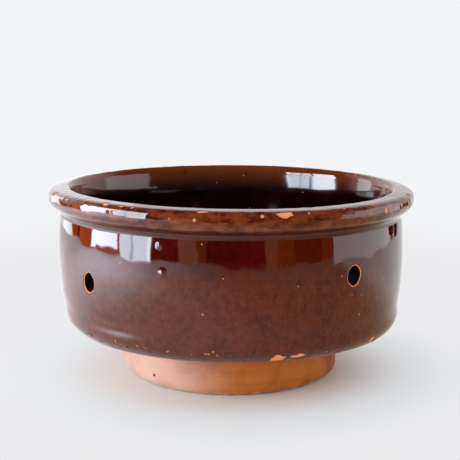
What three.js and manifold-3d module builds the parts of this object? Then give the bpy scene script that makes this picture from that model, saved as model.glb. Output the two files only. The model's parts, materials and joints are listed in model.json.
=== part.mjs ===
// Footed strainer bowl, in millimetres, with +Z up and the origin at the centre of the foot's base.
// A bowl thrown in red earthenware has a roll of clay round its mouth and a ring for a foot, both luted on with slip.
// Drain holes are punched through the wall and the floor. Glaze coats the inside, the rim and the wall as two
// glassy shells, stands back from the lip of every hole, and leaves the underside and the foot as bare clay.

import * as THREE from "three";
import { mergeVertices } from "three/addons/utils/BufferGeometryUtils.js";
import Module from "manifold-3d";

// Foot ring
const FOOT_HEIGHT = 25.2; // table to the underside of the bowl
const FOOT_DIAMETER = 113;
const FOOT_WALL = 11;
const FOOT_OUTER_ROUND = 5;
const FOOT_INNER_ROUND = 2;

// Clay body of the bowl. Heights are above its underside.
const BELLY_DIAMETER = 177;
const BELLY_HEIGHT = 37;
const BASE_DRAW_IN = 2.9; // how far the wall draws in from the belly to its lower edge
const NECK_DRAW_IN = 1.1; // and to the neck, under the rim
const WALL_HEIGHT = 62.7; // underside of the bowl to underside of the rim
const EDGE_ROUND = 8;
const NECK_WALL = 4.6;
const BASE_WALL = 6;
const FLOOR_THICKNESS = 7;
const FLOOR_COVE = 12; // round inside, from the floor to the wall

// Roll of clay round the mouth
const RIM_HEIGHT = 9.2;
const RIM_OVERHANG = 6.8; // how far it stands out from the neck
const RIM_WIDEST = 3.9; // its widest line, above its underside
const CROWN_INSET = 2.3; // its highest line, inside the neck's outer face
const MOUTH_ROUND = 2; // height of the round on the mouth's inner edge

// Slip that lutes the rim and the foot to the bowl
const SLIP_THICKNESS = 1;
const SLIP_SETBACK = 1.5; // how far it stays back from the faces beside it

// Drain holes
const HOLE_DIAMETER = 9.5;
const HOLE_LIP = 0.9; // bare clay that the glaze leaves round each hole
const WALL_HOLE_HEIGHTS = [38.8, 36, 35, 32.3]; // above the underside, anticlockwise from +X
const FLOOR_HOLE_COUNT = 6; // round the middle one
const FLOOR_HOLE_CIRCLE = 52; // diameter of their circle

// Glaze
const GLAZE_THICKNESS = 0.5;
const GLAZE_POOL = 2; // radius of the glaze that pools under the rim
const GLAZE_END = -70; // where the coat stops on the lower edge, in degrees below level
const SEAT_GAP = 0.3; // clearance between two round faces that meet

// Fineness of the facets
const TURN_STEPS = 48;
const ARC_STEPS = 4;
const WALL_STEPS = 6;
const HOLE_SIDES = 24;
const CUT_PAST = 5; // how far a cutter runs past the face that it cuts

// Places that follow from the sizes above
const underside = FOOT_HEIGHT;
const floorTop = underside + FLOOR_THICKNESS;
const rimUnder = underside + WALL_HEIGHT;
const rimTop = rimUnder + RIM_HEIGHT;
const rimWidest = rimUnder + RIM_WIDEST;
const wallStart = underside + EDGE_ROUND;
const belly = underside + BELLY_HEIGHT;
const mouthEdge = rimTop - MOUTH_ROUND;

const bellyRadius = BELLY_DIAMETER / 2;
const baseRadius = bellyRadius - BASE_DRAW_IN;
const neckRadius = bellyRadius - NECK_DRAW_IN;
const crownRadius = neckRadius - CROWN_INSET;
const mouthRadius = neckRadius - NECK_WALL;
const coveRadius = baseRadius - BASE_WALL;
const rimRadius = neckRadius + RIM_OVERHANG;
const rimSeat = neckRadius + SLIP_THICKNESS + 2 * SEAT_GAP;
const rimTurn = neckRadius + SEAT_GAP + GLAZE_THICKNESS + GLAZE_POOL; // where the rim's underside turns up
const footRadius = FOOT_DIAMETER / 2;
const footBore = footRadius - FOOT_WALL;
const footTop = underside - SLIP_THICKNESS;
const holeRadius = HOLE_DIAMETER / 2;
const glazeHoleRadius = holeRadius + HOLE_LIP;

const wasm = await Module();
wasm.setup();

// Curves of the sections, as lists of points (radius, height)

const point = (radius, height) => new THREE.Vector2(radius, height);

function arc(centreRadius, centreHeight, alongRadius, alongHeight, fromDegrees, toDegrees, steps = ARC_STEPS) {
  const points = [];
  for (let i = 0; i <= steps; i++) {
    const angle = THREE.MathUtils.degToRad(fromDegrees + ((toDegrees - fromDegrees) * i) / steps);
    points.push(point(centreRadius + alongRadius * Math.cos(angle), centreHeight + alongHeight * Math.sin(angle)));
  }
  return points;
}

// Outer radius of the clay wall: it swells to the belly and draws in to the lower edge and to the neck.
function wallRadius(height) {
  const below = height < belly;
  const drawIn = below ? BASE_DRAW_IN : NECK_DRAW_IN;
  const share = (height - belly) / (below ? wallStart - belly : rimUnder - belly);
  return bellyRadius - drawIn * share * share;
}

const lowerEdge = (out, fromDegrees) =>
  arc(baseRadius - EDGE_ROUND, wallStart, EDGE_ROUND + out, EDGE_ROUND + out, fromDegrees, 0);

function wall(out, top) {
  const points = [];
  for (let i = 1; i <= WALL_STEPS; i++) {
    const height = wallStart + ((top - wallStart) * i) / WALL_STEPS;
    points.push(point(wallRadius(height) + out, height));
  }
  return points;
}

// The rim's quarter rounds, each pushed out by a distance from the clay.
const rimLower = (out) => arc(rimTurn, rimWidest, rimRadius - rimTurn + out, RIM_WIDEST + out, -90, 0);
const rimUpper = (out, fromDegrees, toDegrees) =>
  arc(crownRadius, rimWidest, rimRadius - crownRadius + out, rimTop - rimWidest + out, fromDegrees, toDegrees);
const mouthRound = (out) =>
  arc(crownRadius, mouthEdge, crownRadius - mouthRadius + out, MOUTH_ROUND + out, 90, 180).slice(1);

// Angle on the rim's upper round at a radius, in degrees.
const rimAngle = (radius) =>
  THREE.MathUtils.radToDeg(Math.acos((radius - crownRadius) / (rimRadius - crownRadius)));

// The inside, from the wall's foot over the cove to the middle of the floor.
const inside = (out) => [
  ...arc(coveRadius - FLOOR_COVE, floorTop + FLOOR_COVE, FLOOR_COVE - out, FLOOR_COVE - out, 0, -90),
  point(0, floorTop + out),
];

// Solids

const turned = (section) =>
  new THREE.LatheGeometry([...section, section[0]], TURN_STEPS).rotateX(Math.PI / 2);

function solidOf(geometry) {
  const bare = geometry.clone();
  bare.deleteAttribute("normal");
  bare.deleteAttribute("uv");
  const merged = mergeVertices(bare, 1e-3);
  return new wasm.Manifold(
    new wasm.Mesh({
      numProp: 3,
      vertProperties: merged.getAttribute("position").array,
      triVerts: new Uint32Array(merged.index.array),
    }),
  );
}

function geometryOf(solid) {
  const mesh = solid.getMesh();
  const geometry = new THREE.BufferGeometry();
  geometry.setAttribute("position", new THREE.BufferAttribute(new Float32Array(mesh.vertProperties), 3));
  geometry.setIndex(new THREE.BufferAttribute(new Uint32Array(mesh.triVerts), 1));
  geometry.computeVertexNormals();
  return geometry;
}

// Cutters for the wall's holes run level from the axis out past the rim.
function wallPunches(radius) {
  const length = rimRadius + CUT_PAST;
  return WALL_HOLE_HEIGHTS.map((height, i) =>
    new THREE.CylinderGeometry(radius, radius, length, HOLE_SIDES)
      .rotateZ(Math.PI / 2)
      .translate(length / 2, 0, underside + height)
      .rotateZ((i / WALL_HOLE_HEIGHTS.length) * 2 * Math.PI),
  );
}

// Cutters for the floor's holes stand upright: one on the axis and the rest round it.
function floorPunches(radius) {
  const length = FLOOR_THICKNESS + 2 * CUT_PAST;
  const upright = () =>
    new THREE.CylinderGeometry(radius, radius, length, HOLE_SIDES)
      .rotateX(Math.PI / 2)
      .translate(0, 0, underside + FLOOR_THICKNESS / 2);
  const ring = Array.from({ length: FLOOR_HOLE_COUNT }, (_, i) =>
    upright()
      .translate(FLOOR_HOLE_CIRCLE / 2, 0, 0)
      .rotateZ((i / FLOOR_HOLE_COUNT) * 2 * Math.PI),
  );
  return [upright(), ...ring];
}

const punched = (geometry, punches) =>
  geometryOf(punches.reduce((solid, punch) => solid.subtract(solidOf(punch)), solidOf(geometry)));

// Pieces

// Wall and floor of the bowl, with every drain hole. The neck rises inside the rim to the crown and the mouth.
function bowlBody() {
  const section = [
    point(0, underside),
    ...lowerEdge(0, -90),
    ...wall(0, rimUnder),
    ...rimUpper(0, rimAngle(neckRadius), 90),
    ...mouthRound(0),
    ...inside(0),
  ];
  return punched(turned(section), [...wallPunches(holeRadius), ...floorPunches(holeRadius)]);
}

function rimRoll() {
  return turned([
    point(rimSeat, rimUnder),
    ...rimLower(0),
    ...rimUpper(0, 0, rimAngle(rimSeat)).slice(1),
  ]);
}

function rimSlip() {
  const inner = neckRadius + SEAT_GAP;
  const outer = inner + SLIP_THICKNESS;
  const low = rimUnder + SLIP_SETBACK;
  const high = rimTop - SLIP_SETBACK;
  return turned([point(inner, low), point(outer, low), point(outer, high), point(inner, high)]);
}

function footRing() {
  return turned([
    ...arc(footBore + FOOT_INNER_ROUND, FOOT_INNER_ROUND, FOOT_INNER_ROUND, FOOT_INNER_ROUND, 180, 270),
    ...arc(footRadius - FOOT_OUTER_ROUND, FOOT_OUTER_ROUND, FOOT_OUTER_ROUND, FOOT_OUTER_ROUND, -90, 0),
    point(footRadius, footTop),
    point(footBore, footTop),
  ]);
}

function footSlip() {
  const inner = footBore + SLIP_SETBACK;
  const outer = footRadius - SLIP_SETBACK;
  return turned([
    point(inner, footTop),
    point(outer, footTop),
    point(outer, underside),
    point(inner, underside),
  ]);
}

// Coat on the wall, the rim and the crown, down to the mouth's inner edge. It pools under the rim.
function outerGlaze() {
  const near = SEAT_GAP;
  const far = SEAT_GAP + GLAZE_THICKNESS;
  const poolTop = rimUnder - far;
  const face = [
    ...lowerEdge(far, GLAZE_END),
    ...wall(far, poolTop - GLAZE_POOL),
    ...arc(neckRadius + far + GLAZE_POOL, poolTop - GLAZE_POOL, GLAZE_POOL, GLAZE_POOL, 180, 90).slice(1, -1),
    ...rimLower(far),
    ...rimUpper(far, 0, 90).slice(1),
    ...mouthRound(far),
  ];
  const back = [
    ...lowerEdge(near, GLAZE_END),
    ...wall(near, rimUnder - near),
    ...rimLower(near),
    ...rimUpper(near, 0, 90).slice(1),
    ...mouthRound(near),
  ];
  return punched(turned([...face, ...back.reverse()]), wallPunches(glazeHoleRadius));
}

// Coat on the floor and the inner wall, up to the edge of the outer coat.
function innerGlaze() {
  const near = SEAT_GAP;
  const far = SEAT_GAP + GLAZE_THICKNESS;
  const top = mouthEdge - SEAT_GAP;
  const face = [point(mouthRadius - far, top), ...inside(far)];
  const back = [point(mouthRadius - near, top), ...inside(near)];
  return punched(turned([...back.reverse(), ...face]), [
    ...wallPunches(glazeHoleRadius),
    ...floorPunches(glazeHoleRadius),
  ]);
}

// Materials

const clay = new THREE.MeshStandardMaterial({ color: 0xc77b4a, roughness: 0.85, metalness: 0 });
const slip = new THREE.MeshStandardMaterial({ color: 0xb56a3c, roughness: 0.95, metalness: 0 });
const brownGlaze = new THREE.MeshStandardMaterial({ color: 0x3a120a, roughness: 0.12, metalness: 0 });

// Assembly

const bowl = new THREE.Group();

function place(name, geometry, material) {
  const mesh = new THREE.Mesh(geometry, material);
  mesh.name = name;
  bowl.add(mesh);
}

place("bowl_body", bowlBody(), clay);
place("rim_roll", rimRoll(), clay);
place("rim_slip", rimSlip(), slip);
place("foot_ring", footRing(), clay);
place("foot_slip", footSlip(), slip);
place("outer_glaze", outerGlaze(), brownGlaze);
place("inner_glaze", innerGlaze(), brownGlaze);

export default bowl;
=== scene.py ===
# Footed strainer bowl: thrown red earthenware under a glossy red-brown glaze, on a bare clay foot ring.
# Shapes are worked out in millimetres and written to the meshes in metres. +Z is up, as in the frame.
import json
import math

import bpy
import numpy as np
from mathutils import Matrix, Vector


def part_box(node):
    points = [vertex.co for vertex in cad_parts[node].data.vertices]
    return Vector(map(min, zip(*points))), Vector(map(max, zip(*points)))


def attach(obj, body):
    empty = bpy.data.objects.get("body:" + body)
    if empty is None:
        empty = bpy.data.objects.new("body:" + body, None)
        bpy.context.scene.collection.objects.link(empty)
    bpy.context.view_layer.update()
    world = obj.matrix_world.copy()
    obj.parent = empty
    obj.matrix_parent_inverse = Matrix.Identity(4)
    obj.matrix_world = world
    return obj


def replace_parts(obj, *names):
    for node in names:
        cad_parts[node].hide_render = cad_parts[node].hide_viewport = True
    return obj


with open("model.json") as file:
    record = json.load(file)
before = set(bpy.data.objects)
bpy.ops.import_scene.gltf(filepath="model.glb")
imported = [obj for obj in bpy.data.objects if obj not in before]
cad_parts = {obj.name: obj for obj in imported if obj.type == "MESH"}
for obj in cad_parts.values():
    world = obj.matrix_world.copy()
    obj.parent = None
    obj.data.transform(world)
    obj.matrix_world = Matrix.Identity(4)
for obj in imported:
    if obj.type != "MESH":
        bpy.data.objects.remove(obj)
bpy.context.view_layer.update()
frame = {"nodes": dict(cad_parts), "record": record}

MM = 0.001

# Sizes that come from the frame
coat_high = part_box("outer_glaze")[1] / MM
lining_low, lining_high = (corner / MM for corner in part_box("inner_glaze"))
body_low, body_high = (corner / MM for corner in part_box("bowl_body"))
foot_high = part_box("foot_ring")[1] / MM
BOX_MARGIN = 0.5  # from the box of a coat in the frame to the glazed surface
RIM_RADIUS = coat_high.x - BOX_MARGIN
RIM_TOP = coat_high.z
UNDERSIDE = body_low.z
FOOT_RADIUS = foot_high.x
FOOT_TOP = foot_high.z

# Glaze and the clay under it
GLAZE = 0.3
HAIR_GAP = 0.02
COAT_DEPTH = 0.8  # glaze and clearance between the clay's faces in the frame and the glazed surface

# Outside of the bowl, at the glazed surface
BELLY_RADIUS = body_high.x + COAT_DEPTH + 0.3
BELLY_HEIGHT = 62
NECK_RADIUS = BELLY_RADIUS - 1.3
BASE_RADIUS = BELLY_RADIUS - 2.5
EDGE_ROUND = 8.8
EDGE_CENTRE = UNDERSIDE + 8
WAIST_HEIGHT = 38
WAIST_DEPTH = 0.35
WAIST_REACH = 4
COAT_END = -70  # degrees below level, where the coat stops on the lower edge

# Rim
NECK_HEIGHT = 87.1
POOL_HEIGHT = 83.6  # the wall bends out here, where glaze gathers under the rim
RIM_UNDER = 86.7
RIM_WIDEST = 93.2
RIM_SHOULDER = 89.5  # radius where the flat crown starts
CROWN_RADIUS = NECK_RADIUS - 3.1
MOUTH_EDGE = RIM_TOP - 4.2
MOUTH_RADIUS = lining_high.x - BOX_MARGIN
ROLL_SEAT = NECK_RADIUS + 0.8

# Inside of the bowl, at the glazed surface
FLOOR = lining_low.z + BOX_MARGIN
COVE = 11.2
COVE_RADIUS = 78.8
FLARE = 1.5  # the wall leans out this far just under the mouth
FLARE_REACH = 12
FLARE_BEND = 2.2  # above 1, so that the lean grows towards the mouth

# Foot ring
FOOT_BORE = 45.5
FOOT_ROUND = 5
FOOT_INNER_ROUND = 2
FOOT_SHIFT = -0.8  # to the camera's right, off the bowl's axis
FOOT_SKEW = 1.2  # the base lies this much further to the right
FOOT_GROOVES = [(16.6, 0.5, 0.3), (12.2, 0.4, 0.2), (5.4, 0.6, 0.15)]  # height, half width and depth

# Drain holes
HOLE_RADIUS = 4.15
HOLE_LIP = 0.6
HOLE_TALL = 1.13  # height of a wall hole over its width
FLOOR_START = 1  # the floor's mesh starts at this radius, inside the middle hole
FLOOR_RING = 45  # radius inside which the floor's holes lie

# Photographed view
CAMERA_AZIMUTH = 49.7  # 0 looks along +Y
CAMERA_DISTANCE = 588
CAMERA_HEIGHT = 178.15
CAMERA_PITCH = 10.12  # degrees below level
CAMERA_YAW = 0.05
FOCAL_PIXELS = 1134.8
IMAGE_PIXELS = 460
SENSOR = 36

# Chips in the glaze: bearing from the camera in degrees, place along the profile, width and height
RIM_CHIPS = [
    (-68, 77.8, 5.0, 3.4),
    (-39, 79.2, 4.6, 3.4),
    (-33, 79.0, 2.8, 2.6),
    (-29, 78.6, 2.0, 2.2),
    (-10, 74.0, 1.6, 1.8),
    (-8, 78.8, 5.2, 2.4),
    (8.5, 76.3, 1.8, 1.8),
    (15, 77.0, 7.0, 3.6),
    (22, 77.2, 1.5, 1.5),
    (34, 78.5, 2.0, 1.4),
    (51, 74.0, 2.8, 3.2),
    (68, 74.0, 3.6, 4.8),
    (72, 78.4, 3.0, 2.2),
    (128, 78.0, 3.0, 2.2),
    (171, 77.0, 4.6, 2.6),
    (-121, 79.0, 2.4, 1.8),
]
EDGE_CHIPS = [
    (15, 3.6, 8.0, 6.0),
    (12.3, 1.5, 7.0, 3.0),
    (21.5, 5.2, 6.4, 3.6),
    (32, 5.6, 2.0, 1.8),
    (36.5, 5.4, 1.6, 1.6),
    (54, 5.4, 5.2, 4.8),
    (140, 4.0, 5.0, 3.4),
    (-112, 4.5, 3.4, 2.6),
]

# Pits along the lower edge, spread over a range of bearings
EDGE_PITS = 44
EDGE_PITS_START = -56
EDGE_PITS_RANGE = 62

# Drops in the glaze: bearing, height, size and rise
DROPS = [(-20.5, 67.6, 1.4, 0.45), (-21.5, 80.5, 1.1, 0.32)]

# Dents low on the wall, and a bulge, whose depth is negative:
# bearing, height, half the width, half the height and depth
DENTS = [
    (-39, 36.6, 20, 3.0, 0.76),
    (148, 40.0, 14, 4, 0.5),
    (78, 34, 30, 4.5, -0.8),
]

# How far the pot is from a true turned form
OVAL = 0.003  # share of the radius
TILT = 0.5
RIM_WAVE = 0.3
RIM_SAG = 0.6
RIM_SAG_BEARING = 140
RIM_DROOP = 1.0  # of the rim's outer edge, away from the front
EDGE_SLANT = 0.7

# Painted shade, a dark spot in a pit of the foot ring: bearing and height
SHADED_PIT = (-42.5, 6.6)

# Pits of the foot ring: bearing, height, size and depth
FOOT_PITS = [
    (*SHADED_PIT, 0.7, 0.9),
    (20, 7, 0.8, 0.5),
    (75, 14, 0.9, 0.5),
    (160, 9, 1.1, 0.7),
    (-105, 16, 0.8, 0.5),
]

# Columns of each mesh round the axis
COAT_COLUMNS = 900
LINING_COLUMNS = 600
CLAY_COLUMNS = 480
FOOT_COLUMNS = 720
LUTING_COLUMNS = 360

# Steps of the clay body's mesh, along the floor and up the wall
FLOOR_PACE = 0.8
WALL_PACE = 0.9


def world_angle(bearing):
    """Angle from +X, in radians, of a bearing in degrees to the right of the camera."""
    return math.radians(CAMERA_AZIMUTH + bearing - 90)


def view_point(right, away, up):
    """A point in metres, from millimetres right of, beyond and above the foot's middle in the photo."""
    angle = math.radians(CAMERA_AZIMUTH)
    x = right * math.cos(angle) - away * math.sin(angle)
    y = right * math.sin(angle) + away * math.cos(angle)
    return Vector((x, y, up)) * MM


# Curves


def arc(centre_radius, centre_height, along_radius, along_height, start, end, steps=24):
    angles = np.radians(np.linspace(start, end, steps + 1))
    radii = centre_radius + along_radius * np.cos(angles)
    return list(zip(radii, centre_height + along_height * np.sin(angles)))


def bend(start, start_pull, end_pull, end, steps=24):
    """Points on a smooth bend between two points, pulled by an offset at each of its ends."""
    share = np.linspace(0, 1, steps + 1)[:, None]
    start = np.array(start, float)
    end = np.array(end, float)
    first = start + start_pull
    last = end + end_pull
    near = (1 - share) ** 3 * start + 3 * (1 - share) ** 2 * share * first
    far = 3 * (1 - share) * share**2 * last + share**3 * end
    return [tuple(point) for point in near + far]


def wall_radius(height):
    """Radius of the glazed wall: a barrel with a shallow waist above the lower edge."""
    below = np.asarray(height) < BELLY_HEIGHT
    span = np.where(below, EDGE_CENTRE - BELLY_HEIGHT, NECK_HEIGHT - BELLY_HEIGHT)
    drop = np.where(below, BELLY_RADIUS - BASE_RADIUS, BELLY_RADIUS - NECK_RADIUS)
    waist = WAIST_DEPTH * np.exp(-(((height - WAIST_HEIGHT) / WAIST_REACH) ** 2))
    return BELLY_RADIUS - drop * ((height - BELLY_HEIGHT) / span) ** 2 - waist


EDGE_TOP = EDGE_CENTRE - 1.6
EDGE_LEAN = math.degrees(math.asin((EDGE_CENTRE - EDGE_TOP) / EDGE_ROUND))  # the wall leans this much there
EDGE_MIDDLE = float(wall_radius(EDGE_TOP)) - EDGE_ROUND * math.cos(math.radians(EDGE_LEAN))


def lining_radius(height):
    """Radius of the glazed inner wall, which leans out a little at the mouth."""
    lean = (height - FLOOR - COVE) / (MOUTH_EDGE - FLOOR - COVE)
    flare = FLARE * np.clip((height - MOUTH_EDGE + FLARE_REACH) / FLARE_REACH, 0, 1) ** FLARE_BEND
    return COVE_RADIUS + (MOUTH_RADIUS - FLARE - COVE_RADIUS) * lean + flare


class Profile:
    """A section through the bowl, as points (radius, height), measured by the distance along it."""

    def __init__(self, points):
        points = np.array(points, float)
        steps = np.hypot(*np.diff(points, axis=0).T)
        points = points[np.concatenate([[True], steps > 1e-6])]
        steps = np.hypot(*np.diff(points, axis=0).T)
        self.points = points
        self.stations = np.concatenate([[0], np.cumsum(steps)])
        self.length = self.stations[-1]

    def at(self, station, out=0):
        """Radius and height at a station, moved out of the clay by a distance."""
        reach = 0.15
        radius = np.interp(station, self.stations, self.points[:, 0])
        height = np.interp(station, self.stations, self.points[:, 1])
        ahead = np.clip(station + reach, 0, self.length)
        behind = np.clip(station - reach, 0, self.length)
        along_radius = np.interp(ahead, self.stations, self.points[:, 0])
        along_radius = along_radius - np.interp(behind, self.stations, self.points[:, 0])
        along_height = np.interp(ahead, self.stations, self.points[:, 1])
        along_height = along_height - np.interp(behind, self.stations, self.points[:, 1])
        size = np.hypot(along_radius, along_height)
        return radius + out * along_height / size, height - out * along_radius / size

    def station_of_height(self, height):
        """The first station at a height, going along the profile."""
        heights = self.points[:, 1]
        after = int(np.argmax(heights >= height if heights[0] < height else heights <= height))
        pair = slice(after - 1, after + 1)
        share = (height - heights[pair][0]) / (heights[pair][1] - heights[pair][0])
        return self.stations[pair][0] + share * (self.stations[pair][1] - self.stations[pair][0])


def outside_profile():
    heights = np.linspace(EDGE_TOP, POOL_HEIGHT, 90)
    pool = (float(wall_radius(POOL_HEIGHT)), POOL_HEIGHT)
    under = (NECK_RADIUS + 1.6, RIM_UNDER)
    widest = (RIM_RADIUS, RIM_WIDEST)
    shoulder = (RIM_SHOULDER, RIM_TOP)
    return Profile(
        arc(EDGE_MIDDLE, EDGE_CENTRE, EDGE_ROUND, EDGE_ROUND, COAT_END, -EDGE_LEAN)
        + list(zip(wall_radius(heights), heights))
        + bend(pool, (-0.1, 1.2), (-1.0, -0.65), under)
        + bend(under, (3.0, 2.0), (0, -3.0), widest)
        + bend(widest, (0, 3.2), (4.3, 0), shoulder, 40)
        + bend(shoulder, (-1, 0), (1, 0), (CROWN_RADIUS, RIM_TOP), 8)
        + bend((CROWN_RADIUS, RIM_TOP), (-1.8, 0), (0.4, 2.2), (MOUTH_RADIUS, MOUTH_EDGE))
    )


def inside_profile():
    heights = np.linspace(MOUTH_EDGE, FLOOR + COVE, 60)
    return Profile(
        list(zip(lining_radius(heights), heights))
        + arc(COVE_RADIUS - COVE, FLOOR + COVE, COVE, COVE, 0, -90)
        + [(FLOOR_START, FLOOR)]
    )


OUTSIDE = outside_profile()
INSIDE = inside_profile()


# Handmade form


def ripple(points, wavelength, seed, waves=20):
    """Smooth seeded unevenness, about 1 high, as a sum of waves in all directions."""
    draw = np.random.default_rng(seed)
    directions = draw.normal(size=(waves, 3))
    directions /= np.linalg.norm(directions, axis=1)[:, None]
    pace = 2 * math.pi / wavelength * draw.uniform(0.7, 1.3, waves)
    phases = draw.uniform(0, 2 * math.pi, waves)
    return np.cos(points @ (directions * pace[:, None]).T + phases).sum(1) / math.sqrt(waves / 2)


def ease(value, start, end):
    """A smooth step from 0 to 1 between two values."""
    share = np.clip((value - start) / (end - start), 0, 1)
    return share * share * (3 - 2 * share)


def half_turn(angle):
    """The same angle, between minus half a turn and half a turn."""
    return (angle + math.pi) % (2 * math.pi) - math.pi


def revolve(angle, radius, height):
    return np.stack([radius * np.cos(angle), radius * np.sin(angle), height], -1)


def handmade(points):
    """The pot as thrown: slightly oval and tilted on its foot, with an uneven rim and lower edge."""
    x, y, z = points.T
    bearing = np.arctan2(y, x) - world_angle(0)
    radius = np.hypot(x, y)
    stretch = 1 - OVAL * ease(z, 20, 50) * np.cos(2 * bearing + 0.4)
    for place, height, half_width, half_height, depth in DENTS:
        turn = half_turn(bearing - math.radians(place))
        away = (turn * BELLY_RADIUS / half_width) ** 2 + ((z - height) / half_height) ** 2
        stretch = stretch - depth / BELLY_RADIUS * np.exp(-away) * ease(radius, 70, 76)
    tilt = -TILT * np.sin(bearing) * ease(z, 18, 26) * ease(radius, 40, 70)
    rim_wave = -RIM_WAVE * np.sin(2 * bearing) * ease(z, 70, 95)
    sagging = (0.5 + 0.5 * np.cos(bearing - math.radians(RIM_SAG_BEARING))) ** 2
    rim_wave = rim_wave - RIM_SAG * sagging * ease(z, 60, 96)
    from_front = np.abs(half_turn(bearing))
    rim_wave = rim_wave - RIM_DROOP * ease(from_front, 0.8, 1.7) * ease(radius, 84, 94) * ease(z, 92, 97)
    edge_drop = -EDGE_SLANT * np.sin(bearing) * ease(z, 24, 27) * (1 - ease(z, 34, 60)) * ease(radius, 66, 80)
    return np.stack([x * stretch, y * stretch, z + tilt + rim_wave + edge_drop], -1)


# Meshes


class Opening:
    """A hole or a chip through a shell, with an uneven outline. On a floor its station is the radius."""

    def __init__(
        self, angle, station, width, height, radius, seed, rough, soft=0.0, floor=False, fullness=2
    ):
        draw = np.random.default_rng(seed)
        self.fullness = fullness
        self.angle = angle
        self.station = station
        self.half = np.array([width, height]) / 2
        self.radius = radius
        self.soft = soft
        self.floor = floor
        self.turns = np.arange(2, 7)
        self.phases = draw.uniform(0, 2 * math.pi, len(self.turns))
        self.rough = rough * draw.uniform(0.5, 1, len(self.turns)) / np.sqrt(self.turns)

    def local(self, angle, station):
        turn = half_turn(angle - self.angle)
        if self.floor:
            return station * np.cos(turn) - self.station, station * np.sin(turn)
        return turn * self.radius, station - self.station

    def place(self, u, v):
        if self.floor:
            return self.angle + np.arctan2(v, self.station + u), np.hypot(self.station + u, v)
        return self.angle + u / self.radius, self.station + v

    def scale(self, u, v):
        """How far out a point lies, as a multiple of the outline."""
        a = u / self.half[0]
        b = v / self.half[1]
        direction = np.arctan2(b, a)
        size_out = (np.abs(a) ** self.fullness + np.abs(b) ** self.fullness) ** (1 / self.fullness)
        outline = 1 + sum(
            size * np.cos(turns * direction + phase)
            for turns, phase, size in zip(self.turns, self.phases, self.rough)
        )
        return size_out / outline

    def distance(self, angle, station):
        """Distance to the outline in millimetres, negative inside."""
        u, v = self.local(angle, station)
        return (self.scale(u, v) - 1) * self.half.min()

    def snap(self, angle, station):
        u, v = self.local(angle, station)
        scale = np.maximum(self.scale(u, v), 1e-3)
        return self.place(u / scale, v / scale)

    def inset(self, angle, station, amount):
        """Points on the outline moved towards the middle by a distance."""
        u, v = self.local(angle, station)
        share = 1 - amount / self.half[0]
        return self.place(u * share, v * share)


def new_object(name, points, faces, part_of_face=None):
    """A mesh object in metres, with only the points that its faces use."""
    used, faces = np.unique(faces, return_inverse=True)
    faces = faces.reshape(-1, 4)
    mesh = bpy.data.meshes.new(name)
    mesh.from_pydata((points[used] * MM).tolist(), [], faces.tolist())
    if part_of_face is not None:
        mesh.polygons.foreach_set("material_index", part_of_face.astype(np.int32))
    mesh.shade_smooth()
    mesh.set_sharp_from_angle(angle=math.radians(45))
    thing = bpy.data.objects.new(name, mesh)
    bpy.context.scene.collection.objects.link(thing)
    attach(thing, "root")
    return thing


def grid_faces(columns, rows, closed=False):
    i, j = np.meshgrid(np.arange(columns), np.arange(rows if closed else rows - 1), indexing="ij")
    right = (i + 1) % columns
    up = (j + 1) % rows
    corners = [i * rows + j, right * rows + j, right * rows + up, i * rows + up]
    return np.stack(corners, -1)


def cut_openings(angle, station, openings):
    """The grid's faces outside the openings, and which opening each point borders, or -1.
    Points of these faces that lie inside an opening are moved to its outline."""
    step = np.gradient(station, axis=1)
    open_at = np.full(angle.shape, -1)
    for number, opening in enumerate(openings):
        open_at[opening.distance(angle, station) < 0.4 * step] = number
    faces = grid_faces(*angle.shape)
    faces = faces[(open_at < 0).ravel()[faces].any(-1)]
    used = np.zeros(angle.size, bool)
    used[faces.ravel()] = True
    open_at[~used.reshape(angle.shape)] = -1
    for number, opening in enumerate(openings):
        here = open_at == number
        angle[here], station[here] = opening.snap(angle[here], station[here])
    return faces, open_at


def coat_share(angle, station, openings, start, end_soft):
    """Thickness of a coat, as a share: less at its first end and at openings with a soft edge."""
    share = ease(station - start, -1e-3, end_soft) if end_soft else np.ones(angle.shape)
    for opening in openings:
        if opening.soft:
            share = np.minimum(share, ease(opening.distance(angle, station), -0.05, opening.soft))
    return share


def border_edges(faces, count):
    """The edges that only one face has, on a grid with a count of points."""
    edges = np.concatenate([np.stack([faces[:, k], faces[:, (k + 1) % 4]], -1) for k in range(4)])
    keys = np.sort(edges, 1) @ np.array([count, 1])
    _, first, uses = np.unique(keys, return_index=True, return_counts=True)
    return edges[first[uses == 1]]


def bridge(near, far):
    """Faces between two rows of edges."""
    return np.concatenate([near[:, ::-1], far], 1)


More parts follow.
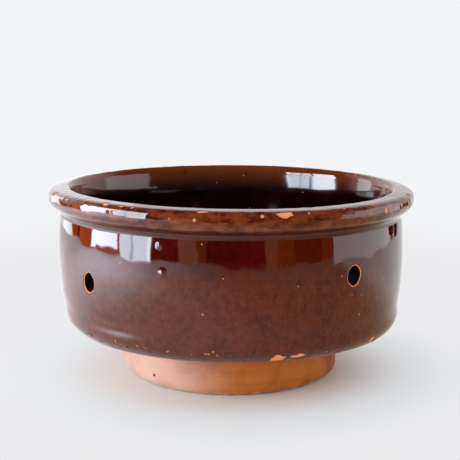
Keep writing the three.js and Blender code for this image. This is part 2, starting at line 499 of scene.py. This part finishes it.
def shell(name, columns, stations, front, back, openings, end_soft=0.0, lip=()):
    """A closed shell over a grid of angles and stations, with openings through it.
    front and back give the points of its two faces for angles, stations and distances out of the shell.
    A lip is a list of rings round each opening: inset from its outline, lift, side and material."""
    turns = np.arange(columns) * 2 * math.pi / columns
    angle, station = np.meshgrid(turns, stations, indexing="ij")
    faces, open_at = cut_openings(angle, station, openings)
    share = coat_share(angle, station, openings, stations.min(), end_soft).ravel()
    angle = angle.ravel()
    station = station.ravel()
    open_at = open_at.ravel()
    count = angle.size
    points = [front(angle, station, -GLAZE * 0.85 * (1 - share)), back(angle, station, 0)]
    all_faces = [faces, faces[:, ::-1] + count]
    parts = [np.zeros(2 * len(faces))]
    border = border_edges(faces, count)
    if lip:
        at_opening = (open_at >= 0)[border].all(1)
        ends = border[~at_opening]
        border = border[at_opening]
        all_faces.append(bridge(ends, ends + count))
        parts.append(np.zeros(len(ends)))
    levels = [border]
    for inset, lift, side, part in lip:
        ring_angle = angle.copy()
        ring_station = station.copy()
        for number, opening in enumerate(openings):
            here = open_at == number
            ring_angle[here], ring_station[here] = opening.inset(angle[here], station[here], inset)
        levels.append(border + count * len(points))
        points.append(side(ring_angle, ring_station, lift))
        parts.append(np.full(len(border), part))
    levels.append(border + count)
    parts.append(np.full(len(border), lip[-1][-1] if lip else 1))
    for near, far in zip(levels, levels[1:]):
        all_faces.append(bridge(near, far))
    points = handmade(np.concatenate(points))
    return new_object(name, points, np.concatenate(all_faces), np.concatenate(parts))


def ring(name, columns, section, shape=None):
    """A closed ring turned from a closed section, with its points moved by shape(points)."""
    rows = len(section)
    angle = np.repeat(np.arange(columns) * 2 * math.pi / columns, rows)
    radius, height = np.tile(np.array(section), (columns, 1)).T
    points = revolve(angle, radius, height)
    if shape:
        points = shape(points)
    return new_object(name, handmade(points), grid_faces(columns, rows, closed=True).reshape(-1, 4))


# Openings


def record_holes(prefix):
    """Centres in millimetres of the holes whose names in the record start with a prefix."""
    openings = frame["record"]["physics"]["openings"]
    boxes = [np.array(o["box_m"]) / MM for o in openings if o["name"].startswith(prefix)]
    return [box.mean(0) for box in boxes]


def wall_openings(station_of_height, size):
    """The wall's drain holes, punched by hand and a little out of round."""
    holes = []
    for seed, (x, y, z) in enumerate(record_holes("wall_hole")):
        station = station_of_height(z)
        width = 2 * size
        height = width * HOLE_TALL
        holes.append(Opening(math.atan2(y, x), station, width, height, BELLY_RADIUS, 40 + seed, 0.03))
    return holes


def floor_openings(size, soft=0.0):
    """The floor's drain holes. Their stations are radii."""
    holes = []
    for seed, (x, y, _) in enumerate(record_holes("floor_hole")):
        angle = math.atan2(y, x)
        radius = math.hypot(x, y)
        holes.append(Opening(angle, radius, 2 * size, 2 * size, 0, 60 + seed, 0.04, soft, floor=True))
    return holes


class FloorOpening:
    """A floor opening on a shell whose stations run along the floor at a steady pace from a radius."""

    def __init__(self, opening, start, pace):
        self.opening = opening
        self.soft = opening.soft
        self.start = start
        self.pace = pace

    def radius(self, station):
        return np.maximum(self.start + self.pace * station, 0)

    def station(self, angle, radius):
        return angle, (radius - self.start) / self.pace

    def distance(self, angle, station):
        return self.opening.distance(angle, self.radius(station))

    def snap(self, angle, station):
        return self.station(*self.opening.snap(angle, self.radius(station)))

    def inset(self, angle, station, amount):
        return self.station(*self.opening.inset(angle, self.radius(station), amount))


def chips(table, seed):
    found = []
    for bearing, station, width, height in table:
        radius = float(OUTSIDE.at(station)[0])
        seed += 1
        found.append(Opening(world_angle(bearing), station, width, height, radius, seed, 0.2, fullness=3))
    return found


def edge_pits():
    """Pinholes that opened to the clay along the lower edge."""
    draw = np.random.default_rng(5)
    pits = []
    for k in range(EDGE_PITS):
        bearing = EDGE_PITS_START + EDGE_PITS_RANGE * (k + draw.uniform(-0.4, 0.4)) / EDGE_PITS
        size = draw.uniform(0.6, 1.4)
        pits.append((bearing, draw.normal(7, 1.1), size, size * draw.uniform(0.6, 1.2)))
    return chips(pits, 200)


# Pieces


def outer_coat():
    """Glaze on the wall, the rim and the crown, chipped along the rim and the lower edge."""
    edge = np.arange(0, 14, 0.6)
    wall = np.arange(14, 60, 0.95)
    rim = np.linspace(60, OUTSIDE.length, 56)
    stations = np.concatenate([edge, wall, rim])

    def front(angle, station, lift):
        points = revolve(angle, *OUTSIDE.at(station))
        swell = 0.028 * ripple(points, 38, 1) + 0.01 * ripple(points, 9, 2)
        swell = swell + 0.03 * ripple(points, 5, 4) * ease(points[:, 2], 88, 92)
        for bearing, height, size, rise in DROPS:
            middle = revolve(world_angle(bearing), float(wall_radius(height)), height)
            swell = swell + rise * np.exp(-((points - middle) ** 2).sum(1) / size**2)
        swell = np.maximum(swell, -0.6 * GLAZE) * (lift > -0.05) * ease(OUTSIDE.length - station, 0, 5)
        return revolve(angle, *OUTSIDE.at(station, lift + swell))

    def back(angle, station, lift):
        return revolve(angle, *OUTSIDE.at(station, -GLAZE))

    holes = wall_openings(OUTSIDE.station_of_height, HOLE_RADIUS + HOLE_LIP)
    holes += chips(RIM_CHIPS, 100) + chips(EDGE_CHIPS, 150) + edge_pits()
    return shell("outer_coat", COAT_COLUMNS, stations, front, back, holes, end_soft=0.9)


def inner_coat():
    """Glaze on the inner wall and the floor."""
    stations = np.concatenate([np.arange(HAIR_GAP, 76, 1.0), np.arange(76, INSIDE.length, 0.8)])

    def front(angle, station, lift):
        swell = 0.08 * ripple(revolve(angle, *INSIDE.at(station)), 30, 3) * ease(station, 0, 12)
        return revolve(angle, *INSIDE.at(station, lift + swell))

    def back(angle, station, lift):
        return revolve(angle, *INSIDE.at(station, -GLAZE))

    holes = wall_openings(INSIDE.station_of_height, HOLE_RADIUS + HOLE_LIP)
    for hole in floor_openings(HOLE_RADIUS + HOLE_LIP, soft=0.5):
        holes.append(FloorOpening(hole, INSIDE.length + FLOOR_START, -1))
    return shell("inner_coat", LINING_COLUMNS, stations, front, back, holes)


def body_sections():
    """Outer and inner faces of the clay body, point for point, from the middle hole to the crown."""
    skin = GLAZE + HAIR_GAP
    floor_radii = np.arange(FLOOR_START, FLOOR_RING, FLOOR_PACE)
    outer = [(radius, UNDERSIDE) for radius in floor_radii]
    inner = [(radius, FLOOR - skin) for radius in floor_radii]
    outer += [(radius, UNDERSIDE) for radius in np.linspace(floor_radii[-1], EDGE_MIDDLE, 25)[1:]]
    inner += [(radius, FLOOR - skin) for radius in np.linspace(floor_radii[-1], COVE_RADIUS - COVE, 25)[1:]]
    outer += arc(EDGE_MIDDLE, EDGE_CENTRE, EDGE_ROUND - skin, EDGE_CENTRE - UNDERSIDE, -90, -EDGE_LEAN, 20)
    inner += arc(COVE_RADIUS - COVE, FLOOR + COVE, COVE + skin, COVE + skin, -90, 0, 20)
    level = FLOOR + COVE + 1.5
    share = np.linspace(0, 1, 12)
    outer += [(float(wall_radius(z)) - skin, z) for z in EDGE_TOP + share * (level - EDGE_TOP)]
    inner += [(float(lining_radius(z)) + skin, z) for z in FLOOR + COVE + share * (level - FLOOR - COVE)]
    heights = np.arange(level + WALL_PACE, MOUTH_EDGE, WALL_PACE)
    outer += [(float(wall_radius(z)) - skin, z) for z in heights]
    inner += [(float(lining_radius(z)) + skin, z) for z in heights]
    crown = RIM_TOP - skin
    inner += bend((MOUTH_RADIUS + skin, MOUTH_EDGE), (0.4, 2.0), (-1.6, 0), (CROWN_RADIUS, crown), 8)
    neck = np.linspace(outer[-1][0], CROWN_RADIUS + 0.3, 9)
    outer += list(zip(neck, np.linspace(MOUTH_EDGE, crown - 0.1, 9)))
    return np.array(outer), np.array(inner)


def thrown_body():
    """Clay wall and floor. It shows under the bowl, round each hole and where the glaze is chipped."""
    outer, inner = body_sections()
    stations = np.arange(len(outer), dtype=float)

    def face(section, side):
        along = np.gradient(section, axis=0)
        normal = np.stack([along[:, 1], -along[:, 0]], 1) * side
        normal /= np.linalg.norm(normal, axis=1)[:, None]

        def points(angle, station, lift):
            radius = np.interp(station, stations, section[:, 0])
            height = np.interp(station, stations, section[:, 1])
            out = np.interp(station, stations, normal[:, 0])
            up = np.interp(station, stations, normal[:, 1])
            return revolve(angle, radius + lift * out, height + lift * up)

        return points

    outside = face(outer, 1)
    inside = face(inner, -1)

    def station_of_height(height):
        wall = outer[:, 0] > BASE_RADIUS - 1
        return float(np.interp(height, outer[wall, 1], stations[wall]))

    holes = []
    for hole in wall_openings(station_of_height, HOLE_RADIUS + HOLE_LIP):
        hole.half = hole.half / np.array([1, WALL_PACE])
        holes.append(hole)
    for hole in floor_openings(HOLE_RADIUS + HOLE_LIP):
        holes.append(FloorOpening(hole, FLOOR_START, FLOOR_PACE))
    clay = 0
    # The bores take the second material, whose dark colour is painted shade
    bore = 1
    lip = [
        (0.05, 0.1, outside, clay),
        (0.2, 0.22, outside, clay),
        (0.35, 0.15, outside, clay),
        (0.5, -0.15, outside, clay),
        (HOLE_LIP, -0.5, outside, bore),
        (HOLE_LIP, -2.5, outside, bore),
        (HOLE_LIP, -0.5, inside, bore),
        (0.5, -0.15, inside, clay),
        (0.35, 0.15, inside, clay),
        (0.2, 0.22, inside, clay),
        (0.05, 0.1, inside, clay),
    ]
    return shell("thrown_body", CLAY_COLUMNS, stations, outside, inside, holes, lip=lip)


def rim_clay():
    """Roll of clay under the rim's glaze, which shows in the chips."""
    low = OUTSIDE.station_of_height(RIM_UNDER)
    stations = np.linspace(low, OUTSIDE.length, 160)
    radius, height = OUTSIDE.at(stations, -GLAZE - HAIR_GAP)
    shown = radius > ROLL_SEAT
    section = list(zip(radius[shown], height[shown]))
    section += [(ROLL_SEAT, z) for z in np.linspace(section[-1][1], section[0][1], 10)[1:]]
    return ring("rim_clay", CLAY_COLUMNS, section)


def foot_section():
    """Section of the foot ring, going up the outside and down the bore."""
    outer_round = arc(FOOT_RADIUS - FOOT_ROUND, FOOT_ROUND, FOOT_ROUND, FOOT_ROUND, -90, 0, 16)
    inner_size = FOOT_INNER_ROUND
    inner_round = arc(FOOT_BORE + inner_size, inner_size, inner_size, inner_size, 180, 270, 8)
    side = [(FOOT_RADIUS, z) for z in np.linspace(FOOT_ROUND, FOOT_TOP, 48)[1:]]
    top = [(r, FOOT_TOP) for r in np.linspace(FOOT_RADIUS, FOOT_BORE, 10)[1:]]
    bore = [(FOOT_BORE, z) for z in np.linspace(FOOT_TOP, inner_size, 24)[1:-1]]
    base = [(r, 0) for r in np.linspace(FOOT_BORE + inner_size, FOOT_RADIUS - FOOT_ROUND, 8)[1:-1]]
    return outer_round + side + top + bore + inner_round + base


def foot():
    """Bare foot ring, turned on the wheel, with fine lines and a few pits."""
    def shape(points):
        x, y, z = points.T
        radius = np.hypot(x, y)
        outer = ease(radius, FOOT_BORE + 4, FOOT_RADIUS - 2)
        lines = 0.05 * np.sin(z * 4.1) + 0.04 * np.sin(z * 7.3 + 1) + 0.12 * np.sin(z * 0.9 + 2)
        for height, size, depth in FOOT_GROOVES:
            lines = lines - depth * np.exp(-(((z - height) / size) ** 2))
        bearing = np.arctan2(y, x) - world_angle(0)
        swell = lines * ease(z, 1, 4) + 0.12 * ripple(points, 26, 7) * ease(z, 0.5, 4)
        for place, height, size, depth in FOOT_PITS:
            turn = half_turn(bearing - math.radians(place))
            away = np.hypot(turn * FOOT_RADIUS, z - height)
            swell = swell - depth * np.exp(-((away / size) ** 2))
        grown = 1 + outer * (swell - 0.5) / np.maximum(radius, 1)
        aside = view_point(1, 0, 0) / MM
        shift = FOOT_SHIFT + FOOT_SKEW * (1 - ease(z, 0, 9))
        return np.stack([x * grown + shift * aside.x, y * grown + shift * aside.y, z], -1)

    return ring("foot", FOOT_COLUMNS, foot_section(), shape)


def foot_luting():
    """Slip squeezed from the joint between the foot and the bowl, wiped to a hollow on both sides."""
    inset = 0.6
    spread = 1.6
    bottom = FOOT_TOP + HAIR_GAP
    thick = 0.96
    upward = np.linspace(0, 1, 6)
    downward = np.linspace(1, 0, 6)
    outer = [(FOOT_RADIUS - inset + spread * share**2, bottom + thick * share) for share in upward]
    inner = [(FOOT_BORE + inset - spread * share**2, bottom + thick * share) for share in downward]
    return ring("foot_luting", LUTING_COLUMNS, outer + inner)


# Materials


class Nodes:
    """Short ways to add nodes to a material or a world."""

    def __init__(self, owner):
        self.owner = owner
        self.tree = owner.node_tree
        self.shader = self.tree.nodes.get("Principled BSDF")
        self.place = self.tree.nodes.new("ShaderNodeTexCoord").outputs["Object"]

    def add(self, kind, inputs=None, **settings):
        node = self.tree.nodes.new(kind)
        for key, value in settings.items():
            setattr(node, key, value)
        for key, value in (inputs or {}).items():
            self.feed(node.inputs[key], value)
        return node

    def feed(self, socket, value):
        if isinstance(value, bpy.types.NodeSocket):
            self.tree.links.new(value, socket)
        else:
            socket.default_value = value

    def stretched(self, scale):
        node = self.add("ShaderNodeMapping", {"Vector": self.place, "Scale": scale})
        return node.outputs["Vector"]

    def noise(self, size_mm, detail=4.0, roughness=0.5, vector=None):
        inputs = {"Vector": vector or self.place, "Scale": 1 / (size_mm * MM)}
        inputs.update({"Detail": detail, "Roughness": roughness})
        return self.add("ShaderNodeTexNoise", inputs).outputs["Fac"]

    def span(self, value, low, high, to_low=0.0, to_high=1.0):
        inputs = {"Value": value, "From Min": low, "From Max": high, "To Min": to_low, "To Max": to_high}
        return self.add("ShaderNodeMapRange", inputs, interpolation_type="SMOOTHSTEP").outputs["Result"]

    def math(self, operation, first, second):
        return self.add("ShaderNodeMath", {0: first, 1: second}, operation=operation).outputs[0]

    def times(self, first, second):
        return self.math("MULTIPLY", first, second)

    def measure(self, operation, *vectors):
        """A number from one or two vectors."""
        node = self.add("ShaderNodeVectorMath", dict(enumerate(vectors)), operation=operation)
        return node.outputs["Value"]

    def height_of(self, vector):
        return self.add("ShaderNodeSeparateXYZ", {0: vector}).outputs["Z"]

    def mix_number(self, factor, first, second):
        return self.add("ShaderNodeMix", {0: factor, 2: first, 3: second}).outputs[0]

    def blend(self, factor, first, second):
        node = self.add("ShaderNodeMix", data_type="RGBA")
        self.feed(node.inputs["Factor"], factor)
        self.feed(node.inputs["A"], first)
        self.feed(node.inputs["B"], second)
        return node.outputs["Result"]

    def bump(self, height, depth_mm, normal=None):
        inputs = {"Height": height, "Distance": depth_mm * MM, "Strength": 1.0}
        if normal:
            inputs["Normal"] = normal
        return self.add("ShaderNodeBump", inputs).outputs["Normal"]

    def set(self, **sockets):
        for key, value in sockets.items():
            self.feed(self.shader.inputs[key.replace("_", " ")], value)


def new_material(name):
    material = bpy.data.materials.new(name)
    material.use_nodes = True
    return Nodes(material)


def colour(red, green, blue):
    """Linear colour of an sRGB one given from 0 to 255."""
    parts = [value / 255 for value in (red, green, blue)]
    return [v / 12.92 if v <= 0.04045 else ((v + 0.055) / 1.055) ** 2.4 for v in parts] + [1.0]


def spots(nodes, spacing_mm, radius_mm, share):
    """Mask of round spots, one in some of the cells of a random net."""
    net = nodes.add("ShaderNodeTexVoronoi", {"Vector": nodes.place, "Scale": 1 / (spacing_mm * MM)})
    chosen = nodes.span(net.outputs["Color"], 1 - share, 1 - share + 0.02)
    reach = radius_mm / spacing_mm
    dot = nodes.span(net.outputs["Distance"], reach * 0.55, reach, 1.0, 0.0)
    return nodes.times(dot, chosen)


def glaze_material(name, deep, pale, thin, grained, roughness, gloss=0.5):
    """Iron glaze: mottled, with dark specks and pinholes that show the clay.
    It is thinner and paler low on the wall and round the rim, in patches outside. It is paler evenly in the
    mouth, partly as thinner glaze and partly as painted light on the top of the inside.
    Heights and radii are in metres."""
    nodes = new_material(name)
    height = nodes.height_of(nodes.place)
    radius = nodes.measure("LENGTH", nodes.stretched((1.0, 1.0, 0.0)))
    low = nodes.span(height, 0.056, 0.076, 1.0, 0.0)
    outside = nodes.span(radius, 0.083, 0.087)
    rim = nodes.times(nodes.span(height, 0.0865, 0.0895), outside)
    inside = nodes.span(radius, 0.083, 0.087, 1.0, 0.0)
    mouth = nodes.times(nodes.span(height, 0.084, 0.097), inside)
    mottle = nodes.span(nodes.noise(22, 5.0, 0.6), 0.35, 0.68)
    grain = nodes.span(nodes.noise(3.2, 4.0, 0.65), 0.35, 0.7)
    patches = nodes.noise(4.5, 5.0, 0.7, nodes.stretched((0.5, 0.5, 1.0)))
    patches = nodes.span(patches, 0.4, 0.6, 0.05, 0.9)
    tone = nodes.blend(mottle, deep, pale)
    thinned = nodes.times(low, nodes.span(nodes.noise(9, 5.0, 0.65), 0.38, 0.66, 0.1, 0.7))
    tone = nodes.blend(thinned, tone, thin)
    tone = nodes.blend(nodes.times(grain, nodes.span(low, 0, 1, 0.1, 0.55)), tone, grained)
    tone = nodes.blend(nodes.times(rim, patches), tone, colour(122, 56, 24))
    # Partly painted light: the mouth band is paler for thinner glaze over the edge, and for light on the top
    # of the dark inside
    tone = nodes.blend(nodes.times(mouth, 0.9), tone, colour(112, 48, 10))
    streaks = nodes.noise(2.6, 3.0, 0.6, nodes.stretched((1.0, 1.0, 0.45)))
    specks = nodes.times(nodes.span(streaks, 0.61, 0.7), 0.6)
    tone = nodes.blend(specks, tone, colour(36, 6, 3))
    pinholes = spots(nodes, 6.0, 0.42, 0.42)
    tone = nodes.blend(pinholes, tone, colour(220, 150, 112))
    waves = nodes.times(nodes.noise(1.6, 2.0), nodes.span(rim, 0, 1, 1.0, 3.0))
    normal = nodes.bump(waves, 0.004)
    normal = nodes.bump(nodes.math("SUBTRACT", 1.0, pinholes), 0.12, normal)
    nodes.set(Base_Color=tone, Roughness=nodes.span(pinholes, 0, 1, roughness, 0.6), Normal=normal)
    nodes.set(IOR=1.55, Specular_IOR_Level=gloss)
    return nodes.owner


def clay_material(name, pale, deep, lit_side_share):
    """Bare fired earthenware: grain, turning lines round the axis, small pits painted dark as their shade,
    and a dusty sheen.
    On the side towards the window it can have a pale patch of painted light, whose share is the last
    argument. Heights and places are in metres."""
    nodes = new_material(name)
    cloud = nodes.span(nodes.noise(18, 4.0), 0.3, 0.7)
    # Painted light: a pale patch on the side towards the window lamp, fixed to the object
    toward_window = nodes.measure("DOT_PRODUCT", nodes.place, view_point(-1000, -450, 0))
    painted_light = nodes.span(toward_window, 0.018, 0.06, 0.0, lit_side_share)
    painted_light = nodes.times(painted_light, nodes.span(cloud, 0, 1, 0.85, 1.1))
    grain = nodes.span(nodes.noise(1.1, 4.0, 0.75), 0.35, 0.7)
    lines = nodes.span(nodes.noise(2.2, 4.0, 0.75, nodes.stretched((0.02, 0.02, 1.0))), 0.35, 0.7)
    tone = nodes.blend(cloud, deep, pale)
    tone = nodes.blend(nodes.times(lines, 0.45), tone, deep)
    tone = nodes.blend(nodes.times(grain, 0.4), tone, pale)
    tone = nodes.blend(painted_light, tone, colour(227, 199, 189))
    height = nodes.height_of(nodes.place)
    rubbed = nodes.span(height, 0.0008, 0.003, 1.0, 0.0)
    rubbed = nodes.times(rubbed, nodes.span(nodes.noise(5), 0.45, 0.6))
    tone = nodes.blend(nodes.times(rubbed, 0.6), tone, colour(240, 182, 138))
    # Painted shade: small pits, dented by a bump and also darkened in colour for the shade in their hollows
    pits = spots(nodes, 5.0, 0.3, 0.25)
    tone = nodes.blend(nodes.times(pits, 0.7), tone, colour(96, 48, 22))
    # Painted shade: a dark spot over the foot ring's deep pit
    middle = Vector(revolve(world_angle(SHADED_PIT[0]), FOOT_RADIUS - 0.8, SHADED_PIT[1])) * MM
    away = nodes.measure("DISTANCE", nodes.place, middle + view_point(FOOT_SHIFT, 0, 0))
    tone = nodes.blend(nodes.span(away, 0.5 * MM, 1.1 * MM, 1.0, 0.0), tone, colour(104, 48, 22))
    normal = nodes.bump(lines, 0.05)
    normal = nodes.bump(grain, 0.08, normal)
    normal = nodes.bump(nodes.math("SUBTRACT", 1.0, pits), 0.25, normal)
    nodes.set(Base_Color=tone, Roughness=nodes.span(grain, 0, 1, 0.68, 0.85), Normal=normal)
    nodes.set(Specular_IOR_Level=0.2)
    nodes.set(Sheen_Weight=0.12, Sheen_Roughness=0.4, Sheen_Tint=(0.8, 0.92, 1.0, 1.0))
    return nodes.owner


RED = colour(58, 4, 2)
BROWN = colour(76, 8, 3)
ORANGE = colour(100, 33, 9)
RUST = colour(110, 47, 15)
# Painted shade: the lining and the holes' bores get darker copies of the glaze's colours, for the shade
# inside the bowl and in the holes
SHADE_DARK = colour(9, 1, 1)
SHADE_RED = colour(34, 3, 3)
GLAZED = glaze_material("brown_glaze", RED, BROWN, ORANGE, RUST, 0.055)
SHADED_LINING = glaze_material("shaded_lining", SHADE_DARK, SHADE_RED, SHADE_RED, SHADE_RED, 0.09)
SHADED_BORES = glaze_material("shaded_dry_glaze", SHADE_DARK, SHADE_RED, SHADE_RED, SHADE_RED, 0.6, 0.05)
# The foot's clay has 0.6 of painted light on its side towards the window
CLAY = clay_material("bare_clay", colour(208, 122, 48), colour(146, 73, 13), 0.6)
BROKEN_CLAY = clay_material("broken_clay", colour(252, 172, 124), colour(246, 146, 90), 0.0)
SLIP = clay_material("fired_slip", colour(206, 132, 90), colour(178, 104, 64), 0.0)


def dress(piece, slot, *materials):
    """Gives a piece one material for each part of its mesh. The slot is not used."""
    for material in materials:
        piece.data.materials.append(material)
    return piece


def make_bowl():
    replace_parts(dress(outer_coat(), "glaze", GLAZED, GLAZED), "outer_glaze")
    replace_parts(dress(inner_coat(), "glaze", SHADED_LINING, SHADED_LINING), "inner_glaze")
    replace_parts(dress(thrown_body(), "clay", BROKEN_CLAY, SHADED_BORES), "bowl_body")
    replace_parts(dress(rim_clay(), "clay", BROKEN_CLAY), "rim_roll")
    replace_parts(dress(foot(), "clay", CLAY), "foot_ring")
    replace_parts(dress(foot_luting(), "slip", SLIP), "foot_slip")
    hidden = frame["nodes"]["rim_slip"]
    hidden.data.materials.clear()
    hidden.data.materials.append(SLIP)


# Stage

BACKGROUND = colour(243, 244, 246)
FLOOR_FAR = colour(235, 235, 237)
FLOOR_TONE = colour(250, 250, 250)
FLOOR_BY_FOOT = colour(229, 248, 253)  # cooler, against the clay's warm glow
# The table as the glaze sees it: under the window's glare, beside the window, in the room and behind the bowl
TABLE_GLARE = (4.9, 5.2, 5.9, 1.0)
TABLE_BESIDE_WINDOW = (1.45, 1.5, 1.6, 1.0)
TABLE_IN_ROOM = (0.52, 0.41, 0.25, 1.0)
TABLE_BEHIND = (1.1, 1.15, 1.13, 1.0)
WORLD_LIGHT = 1.0
ROOM_LIGHT = 0.08


def emission(name, tone, strength):
    material = bpy.data.materials.new(name)
    material.use_nodes = True
    tree = material.node_tree
    tree.nodes.clear()
    glow = tree.nodes.new("ShaderNodeEmission")
    glow.inputs["Color"].default_value = tone
    glow.inputs["Strength"].default_value = strength
    tree.links.new(glow.outputs[0], tree.nodes.new("ShaderNodeOutputMaterial").inputs["Surface"])
    return material


def sheet_object(name, corners, faces, material):
    mesh = bpy.data.meshes.new(name)
    mesh.from_pydata(corners, [], faces)
    mesh.materials.append(material)
    thing = bpy.data.objects.new(name, mesh)
    bpy.context.scene.collection.objects.link(thing)
    return thing


def floor_material():
    """Pale table that fades into the background away from the bowl.
    The glaze sees it bright under the window and dim towards the room."""
    nodes = new_material("pale_floor")
    distance = nodes.measure("LENGTH", nodes.place)
    path = nodes.add("ShaderNodeLightPath").outputs
    grain = nodes.noise(60, 3.0)
    tone = nodes.blend(nodes.span(distance, 0.06, 0.18), FLOOR_BY_FOOT, FLOOR_TONE)
    tone = nodes.blend(nodes.times(grain, 0.08), tone, colour(214, 214, 218))
    nodes.set(Base_Color=tone, Roughness=0.6)
    to_room = nodes.measure("DOT_PRODUCT", nodes.place, view_point(1000, -350, 0))
    to_back = nodes.measure("DOT_PRODUCT", nodes.place, view_point(500, 866, 0))
    from_glare = nodes.measure("DISTANCE", nodes.place, view_point(-480, -90, 0))
    mirrored = nodes.blend(nodes.span(to_room, -0.3, 0.2), TABLE_BESIDE_WINDOW, TABLE_IN_ROOM)
    mirrored = nodes.blend(nodes.span(to_back, 0.05, 0.2), mirrored, TABLE_BEHIND)
    mirrored = nodes.blend(nodes.span(from_glare, 0, 0.36, 1.0, 0.0), mirrored, TABLE_GLARE)
    far = nodes.blend(nodes.span(distance, 0.25, 0.6), FLOOR_FAR, BACKGROUND)
    surface = nodes.shader.outputs[0]
    looks = [
        (nodes.times(path["Is Glossy Ray"], nodes.span(distance, 0.065, 0.085)), mirrored),
        (nodes.times(path["Is Camera Ray"], nodes.span(distance, 0.045, 0.15)), far),
    ]
    for share, shown in looks:
        glow = nodes.add("ShaderNodeEmission", {"Color": shown, "Strength": 1.0})
        mix = nodes.add("ShaderNodeMixShader", {0: share})
        nodes.feed(mix.inputs[1], surface)
        nodes.feed(mix.inputs[2], glow.outputs[0])
        surface = mix.outputs[0]
    nodes.feed(nodes.tree.nodes["Material Output"].inputs["Surface"], surface)
    return nodes.owner


def make_floor():
    reach = 3000
    sides = ((-1, -1), (1, -1), (1, 1), (-1, 1))
    corners = [view_point(reach * right, reach * away, 0) for right, away in sides]
    sheet_object("floor", corners, [(0, 1, 2, 3)], floor_material())


# Cards that stand round the table and are only seen in the glaze:
# bearings from and to, bottom, top, distance behind the ring, colour and strength
CARD_RADIUS = 570
CARDS = [
    (-112, -20, 11, 92, 9, colour(40, 12, 6), 0.3),
    (-20, 35, 4, 92, 9, colour(40, 12, 6), 0.3),
    (35, 126, 12, 92, 9, colour(40, 12, 6), 0.3),
    (-170, -122, 0, 420, 3, colour(246, 250, 255), 1.5),
    (-138, -120, 4, 300, 0, colour(240, 248, 255), 4.2),
    (-119, -112, 8, 92, 0, colour(255, 120, 60), 1.0),
    (-108, -69, 8, 92, 6, colour(255, 120, 60), 2.2),
    (-94, -90, 14, 360, 0, colour(232, 243, 255), 17.0),
    (-90, -72, 22, 360, 0, colour(232, 243, 255), 17.0),
    (-70, -62, 6, 360, 0, colour(222, 238, 255), 13.0),
    (-62, -60, 6, 360, 0, colour(222, 238, 255), 8.0),
    (-60, -50, 6, 360, 0, colour(222, 238, 255), 13.5),
    (-50, -48, 6, 360, 0, colour(232, 243, 255), 18.0),
    (-31, -20, 11, 120, 0, colour(190, 140, 110), 2.2),
    (-20, -14, 8, 120, 0, colour(170, 100, 30), 1.4),
    (20, 26, 4, 120, 0, colour(190, 140, 90), 1.6),
    (26, 37, 6, 120, 0, colour(170, 100, 30), 1.5),
    (37, 55, 10, 120, 0, colour(160, 90, 20), 0.5),
    (55, 62, 12, 120, 0, colour(170, 100, 30), 1.2),
    (63, 118, 0, 150, 0, colour(232, 236, 240), 2.4),
    (72, 118, 150, 330, 0, colour(232, 236, 240), 2.4),
    (121, 124, 0, 92, 0, colour(40, 30, 26), 0.3),
    (127, 133, 0, 92, 0, colour(40, 30, 26), 0.3),
]


def make_cards():
    steps = 24
    for number, (start, end, bottom, top, behind, tone, strength) in enumerate(CARDS):
        radius = CARD_RADIUS + behind
        edges = [math.radians(a) for a in np.linspace(start, end, steps + 1)]
        corners = [view_point(radius * math.sin(a), -radius * math.cos(a), bottom) for a in edges]
        corners += [view_point(radius * math.sin(a), -radius * math.cos(a), top) for a in edges[::-1]]
        faces = [(k, k + 1, 2 * steps - k, 2 * steps + 1 - k) for k in range(steps)]
        name = f"card_{number}"
        card = sheet_object(name, corners, faces, emission(name, tone, strength))
        card.visible_camera = False
        card.visible_diffuse = False
        card.visible_shadow = False
        card.visible_transmission = False


def make_world():
    """White to the camera and soft light on the bowl.
    The glaze sees a white wall behind the bowl and a dim room."""
    world = bpy.data.worlds.new("studio")
    bpy.context.scene.world = world
    world.use_nodes = True
    nodes = Nodes(world)
    light_path = nodes.add("ShaderNodeLightPath").outputs
    direction = nodes.add("ShaderNodeTexCoord").outputs["Generated"]
    behind = nodes.measure("DOT_PRODUCT", direction, view_point(0, 1000, 0))
    up = nodes.height_of(direction)
    wall = nodes.times(nodes.span(behind, 0.1, 0.45), nodes.span(up, 0.5, 0.75, 1.0, 0.0))
    seen = nodes.span(wall, 0, 1, ROOM_LIGHT, 1.1)
    strength = nodes.mix_number(light_path["Is Glossy Ray"], WORLD_LIGHT, seen)
    strength = nodes.mix_number(light_path["Is Camera Ray"], strength, 1.0)
    background = world.node_tree.nodes["Background"]
    background.inputs["Color"].default_value = BACKGROUND
    nodes.feed(background.inputs["Strength"], strength)


def make_lamp(name, place, aim, width, height, radiance, tone=(1, 1, 1)):
    """A soft rectangular lamp whose face has the given radiance."""
    light = bpy.data.lights.new(name, "AREA")
    light.shape = "RECTANGLE"
    light.size = width * MM
    light.size_y = height * MM
    light.energy = radiance * math.pi * light.size * light.size_y
    light.color = tone
    lamp = bpy.data.objects.new(name, light)
    lamp.location = view_point(*place)
    lamp.rotation_euler = (view_point(*aim) - lamp.location).to_track_quat("-Z", "Y").to_euler()
    lamp.visible_glossy = False
    bpy.context.scene.collection.objects.link(lamp)


def make_lamps():
    make_lamp("window", (-1060, -285, 240), (0, 0, 60), 1000, 440, 6.2, (0.94, 0.98, 1.04))


def make_camera():
    data = bpy.data.cameras.new("camera")
    data.sensor_width = SENSOR
    data.lens = FOCAL_PIXELS / IMAGE_PIXELS * SENSOR
    data.clip_start = 0.01
    camera = bpy.data.objects.new("camera", data)
    camera.location = view_point(0, -CAMERA_DISTANCE, CAMERA_HEIGHT)
    camera.rotation_euler = (
        math.radians(90 - CAMERA_PITCH),
        0,
        math.radians(CAMERA_AZIMUTH + CAMERA_YAW),
    )
    bpy.context.scene.collection.objects.link(camera)
    bpy.context.scene.camera = camera


make_camera()
make_bowl()
make_floor()
make_cards()
make_world()
make_lamps()
bpy.context.scene.view_settings.view_transform = "Standard"
